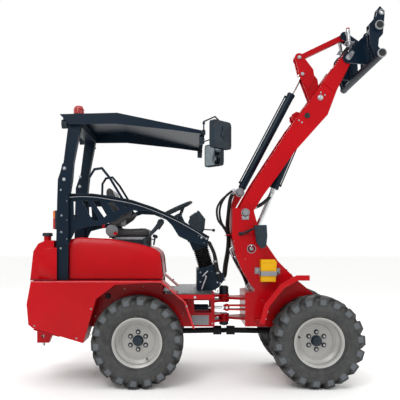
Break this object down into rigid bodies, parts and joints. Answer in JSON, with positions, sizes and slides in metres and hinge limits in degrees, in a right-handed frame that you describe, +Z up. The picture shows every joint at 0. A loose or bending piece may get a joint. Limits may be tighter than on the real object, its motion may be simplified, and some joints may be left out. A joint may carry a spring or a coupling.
{
  "type": "compact articulated farmyard loader",
  "caption": "Compact articulated loader with a red body, canopied driver's place, raised lifting arm with bellcrank linkage and a bare quick hitch.",
  "frame": {"origin": "centre of the bounding box in plan, on the ground between the wheels", "axes": "+X forwards towards the hitch, +Y to the left, +Z up"},
  "size_m": [3.0662, 1.2338, 3.2311],
  "materials": {
    "body_red": "gloss",
    "frame_navy": "satin",
    "engine_grey": "matte",
    "tread_steel": "satin",
    "trim_black": "matte",
    "seat_vinyl": "matte",
    "boot_rubber": "matte",
    "lamp_housing": "satin",
    "pin_steel": "satin",
    "chock_yellow": "gloss",
    "rim_silver": "satin",
    "tyre_rubber": "matte",
    "rod_chrome": "polished"
  },
  "bodies": {
    "rear_frame": {"rear_chassis": "body_red", "rear_axle": "frame_navy", "engine": "engine_grey", "rear_skirt": "body_red", "hoods": "body_red", "floor_plate": "tread_steel", "seat_base": "trim_black", "seat_cushion": "seat_vinyl", "seat_back": "seat_vinyl", "post_frame": "frame_navy", "canopy": "frame_navy", "guard_beams": "frame_navy", "column_stand": "trim_black", "column_boot": "boot_rubber", "dash_pod": "trim_black", "mirrors": "trim_black", "lamps": "lamp_housing", "pivot_pins": "pin_steel"},
    "front_frame": {"front_chassis": "body_red", "front_axle": "frame_navy", "front_lamps": "lamp_housing", "wheel_chock": "chock_yellow"},
    "steering_wheel": {"steering_wheel": "trim_black"},
    "wheel_rl": {"rim_rl": "rim_silver", "tyre_rl": "tyre_rubber"},
    "wheel_rr": {"rim_rr": "rim_silver", "tyre_rr": "tyre_rubber"},
    "wheel_fl": {"rim_fl": "rim_silver", "tyre_fl": "tyre_rubber"},
    "wheel_fr": {"rim_fr": "rim_silver", "tyre_fr": "tyre_rubber"},
    "boom": {"boom": "body_red"},
    "lift_barrel": {"lift_barrel": "frame_navy"},
    "lift_rod": {"lift_rod": "rod_chrome"},
    "tilt_barrel": {"tilt_barrel": "frame_navy"},
    "tilt_rod": {"tilt_rod": "rod_chrome"},
    "crank_pin": {"crank_pin": "pin_steel"},
    "bellcrank": {"bellcrank": "body_red"},
    "link_pin": {"link_pin": "pin_steel"},
    "link_bar": {"link_bar": "body_red"},
    "hitch_pins": {"hitch_pins": "pin_steel"},
    "hitch": {"hitch": "frame_navy"},
    "steer_barrel": {"steer_barrel": "frame_navy"},
    "steer_rod": {"steer_rod": "rod_chrome"}
  },
  "joints": [
    {"name": "articulation", "type": "hinge", "parent": "rear_frame", "child": "front_frame", "pos_m": [0.20885, 0, 0.62], "axis": [0, 0, 1], "range_deg": [-40, 40]},
    {"name": "boom_lift", "type": "hinge", "parent": "front_frame", "child": "boom", "pos_m": [0.38385, 0, 1.5], "axis": [0, -1, 0], "range_deg": [-100, 0]},
    {"name": "tilt", "type": "hinge", "parent": "hitch_pins", "child": "hitch", "pos_m": [1.30415, 0, 2.88515], "axis": [0, -1, 0], "range_deg": [-45, 35]},
    {"name": "steering_wheel_spin", "type": "hinge", "parent": "rear_frame", "child": "steering_wheel", "pos_m": [-0.24015, 0, 1.545], "axis": [-0.4226, 0, 0.9063], "continuous": true},
    {"name": "wheel_rl_spin", "type": "hinge", "parent": "rear_frame", "child": "wheel_rl", "pos_m": [-0.55615, 0.415, 0.3925], "axis": [0, 1, 0], "continuous": true},
    {"name": "wheel_rr_spin", "type": "hinge", "parent": "rear_frame", "child": "wheel_rr", "pos_m": [-0.55615, -0.415, 0.3925], "axis": [0, 1, 0], "continuous": true},
    {"name": "wheel_fl_spin", "type": "hinge", "parent": "front_frame", "child": "wheel_fl", "pos_m": [0.97385, 0.415, 0.3925], "axis": [0, 1, 0], "continuous": true},
    {"name": "wheel_fr_spin", "type": "hinge", "parent": "front_frame", "child": "wheel_fr", "pos_m": [0.97385, -0.415, 0.3925], "axis": [0, 1, 0], "continuous": true},
    {"name": "lift_barrel_turn", "type": "hinge", "parent": "boom", "child": "lift_barrel", "pos_m": [0.94691, 0, 2.37457], "axis": [0, -1, 0], "range_deg": [-0.2, 4.73]},
    {"name": "crank_level", "type": "hinge", "parent": "boom", "child": "crank_pin", "pos_m": [1.0573, 0, 2.53169], "axis": [0, -1, 0], "range_deg": [-0.2, 63.41]},
    {"name": "hitch_level", "type": "hinge", "parent": "boom", "child": "hitch_pins", "pos_m": [1.30415, 0, 2.88515], "axis": [0, -1, 0], "range_deg": [-0.2, 118.3]},
    {"name": "link_level", "type": "hinge", "parent": "bellcrank", "child": "link_pin", "pos_m": [0.90702, 0, 2.95373], "axis": [0, -1, 0], "range_deg": [-65.84, 0.2]},
    {"name": "tilt_barrel_turn", "type": "hinge", "parent": "front_frame", "child": "tilt_barrel", "pos_m": [0.35385, 0, 1.698], "axis": [0, -1, 0], "range_deg": [-99.59, 0.2]},
    {"name": "crank_turn", "type": "hinge", "parent": "crank_pin", "child": "bellcrank", "pos_m": [1.0573, 0, 2.53169], "axis": [0, -1, 0], "range_deg": [-27.52, 21.45]},
    {"name": "link_turn", "type": "hinge", "parent": "link_pin", "child": "link_bar", "pos_m": [0.90702, 0, 2.95373], "axis": [0, -1, 0], "range_deg": [-12.54, 16.06]},
    {"name": "steer_barrel_turn", "type": "hinge", "parent": "rear_frame", "child": "steer_barrel", "pos_m": [-0.27115, -0.14, 0.648], "axis": [0, 0, 1], "range_deg": [-1.6, 1.6]},
    {"name": "lift_rod_slide", "type": "slide", "parent": "lift_barrel", "child": "lift_rod", "axis": [-0.3908, 0, -0.9205], "range_m": [-0.4949, 0.001]},
    {"name": "tilt_rod_slide", "type": "slide", "parent": "tilt_barrel", "child": "tilt_rod", "axis": [0.4674, 0, 0.884], "range_m": [-0.0816, 0.1047]},
    {"name": "steer_rod_slide", "type": "slide", "parent": "steer_barrel", "child": "steer_rod", "axis": [0.9982, -0.0605, 0], "range_m": [-0.1136, 0.1136]}
  ],
  "couplings": [
    {"joint": "lift_barrel_turn", "follows": "boom_lift", "ratio": -0.04526},
    {"joint": "lift_rod_slide", "follows": "boom_lift", "m_per_rad": 0.28299},
    {"joint": "crank_level", "follows": "boom_lift", "ratio": -0.63209},
    {"joint": "hitch_level", "follows": "boom_lift", "ratio": -1.181},
    {"joint": "link_level", "follows": "boom_lift", "ratio": 0.65643},
    {"joint": "tilt_barrel_turn", "follows": "boom_lift", "ratio": 0.99385},
    {"joint": "crank_turn", "follows": "tilt", "ratio": 0.60709},
    {"joint": "link_turn", "follows": "tilt", "ratio": -0.35251},
    {"joint": "tilt_rod_slide", "follows": "tilt", "m_per_rad": -0.13201},
    {"joint": "steer_barrel_turn", "follows": "articulation", "ratio": 0.03312},
    {"joint": "steer_rod_slide", "follows": "articulation", "m_per_rad": 0.16125}
  ]
}
